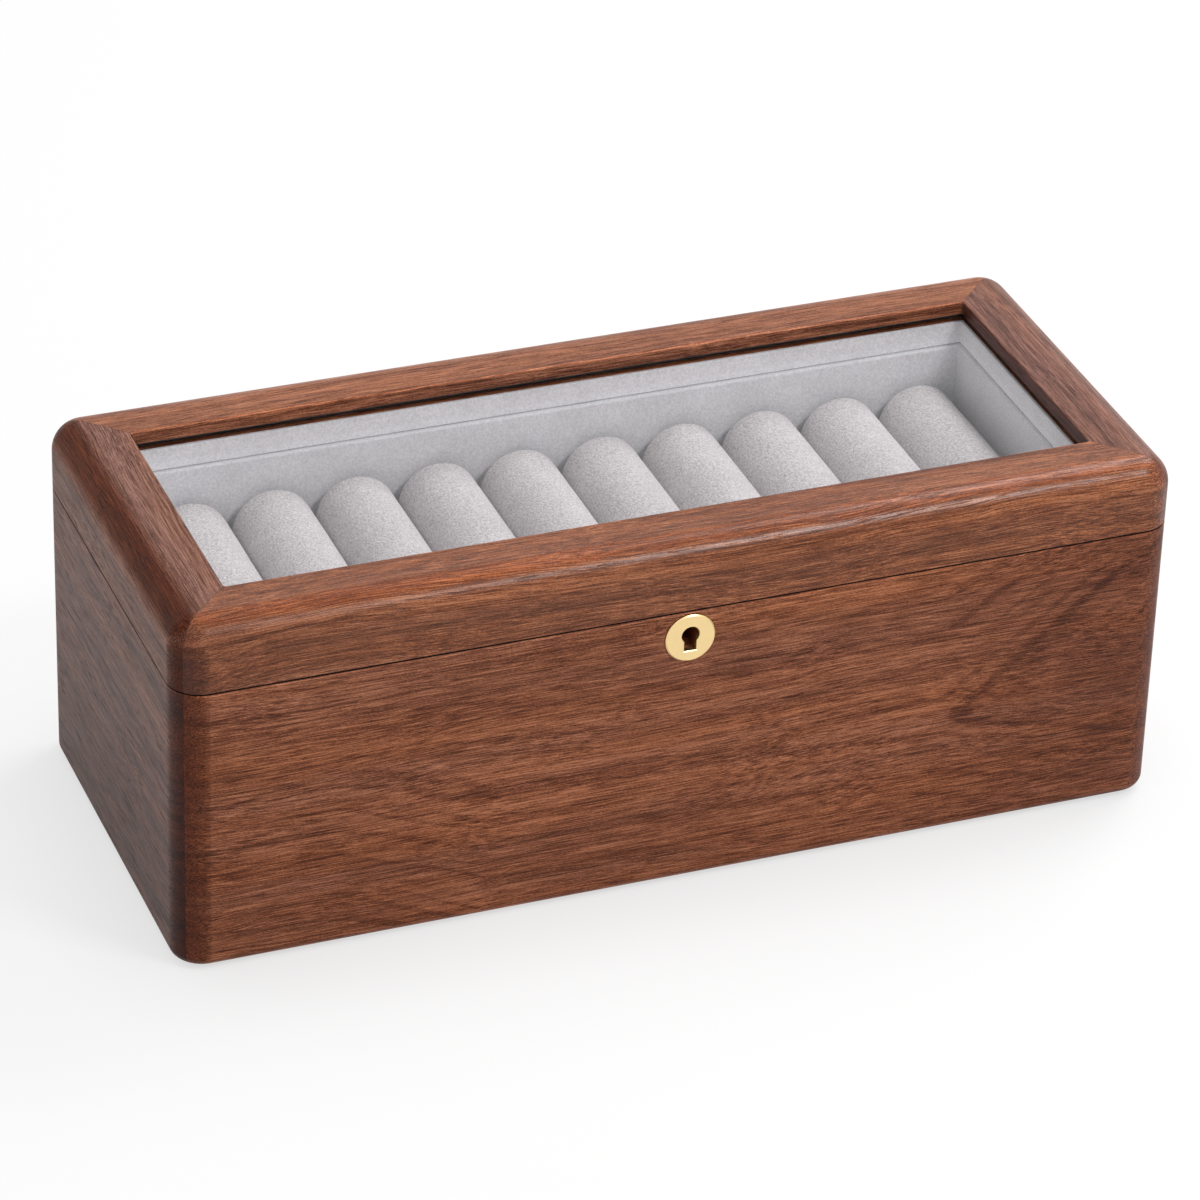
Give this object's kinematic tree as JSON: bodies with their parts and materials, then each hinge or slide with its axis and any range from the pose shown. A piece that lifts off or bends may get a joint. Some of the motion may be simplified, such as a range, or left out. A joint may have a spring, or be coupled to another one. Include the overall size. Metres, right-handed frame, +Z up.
{
  "type": "bangle box",
  "caption": "Long walnut bangle box with a hinged glass lid, a round brass keyhole plate with a box lock, pale grey suede lining and a row of upright suede pads.",
  "frame": {"origin": "middle of the underside, on the surface that the box stands on", "axes": "+X along the long front to the right as seen from the front, -Y towards the front with the keyhole, +Z up"},
  "size_m": [0.36, 0.1553, 0.1345],
  "materials": {
    "walnut": "satin lacquered walnut",
    "base_board": "plain birch board",
    "base_felt": "dark felt",
    "glass": "clear float glass",
    "seal": "matt black",
    "lining_suede": "soft suede",
    "pad_suede": "soft suede over foam",
    "escutcheon_brass": "polished",
    "hardware_brass": "fine machined",
    "steel": "plain"
  },
  "bodies": {
    "box": {"back_wall": "walnut", "base_felt": "base_felt", "base_panel": "base_board", "body_liner_back": "lining_suede", "body_liner_front": "lining_suede", "body_liner_left": "lining_suede", "body_liner_right": "lining_suede", "escutcheon": "escutcheon_brass", "front_wall": "walnut", "hinge_body_leaf_left": "hardware_brass", "hinge_body_leaf_right": "hardware_brass", "hinge_body_screws": "hardware_brass", "hinge_pin_left": "steel", "hinge_pin_right": "steel", "left_wall": "walnut", "lock_cap": "hardware_brass", "lock_cap_screws": "hardware_brass", "lock_case": "hardware_brass", "lock_screws": "hardware_brass", "pad_01": "pad_suede", "pad_02": "pad_suede", "pad_03": "pad_suede", "pad_04": "pad_suede", "pad_05": "pad_suede", "pad_06": "pad_suede", "pad_07": "pad_suede", "pad_08": "pad_suede", "pad_09": "pad_suede", "pad_10": "pad_suede", "pad_board": "lining_suede", "right_wall": "walnut"},
    "lid": {"glass": "glass", "glass_seal_lower": "seal", "glass_seal_upper": "seal", "glazing_bead_back": "walnut", "glazing_bead_front": "walnut", "glazing_bead_left": "walnut", "glazing_bead_right": "walnut", "hinge_lid_leaf_left": "hardware_brass", "hinge_lid_leaf_right": "hardware_brass", "hinge_lid_screws": "hardware_brass", "lid_back_rail": "walnut", "lid_front_rail": "walnut", "lid_left_rail": "walnut", "lid_liner_back": "lining_suede", "lid_liner_front": "lining_suede", "lid_liner_left": "lining_suede", "lid_liner_right": "lining_suede", "lid_right_rail": "walnut", "link_plate": "hardware_brass", "link_plate_screws": "hardware_brass"},
    "bolt": {"lock_bolt": "hardware_brass", "bolt_spring": "steel"}
  },
  "joints": [
    {"name": "lid_hinge", "type": "hinge", "parent": "box", "child": "lid", "pos_m": [0, 0.07405, 0.109], "axis": [-1, 0, 0], "range_deg": [0, 95]},
    {"name": "bolt_slide", "type": "slide", "parent": "box", "child": "bolt", "axis": [1, 0, 0], "range_m": [0, 0.005]}
  ]
}
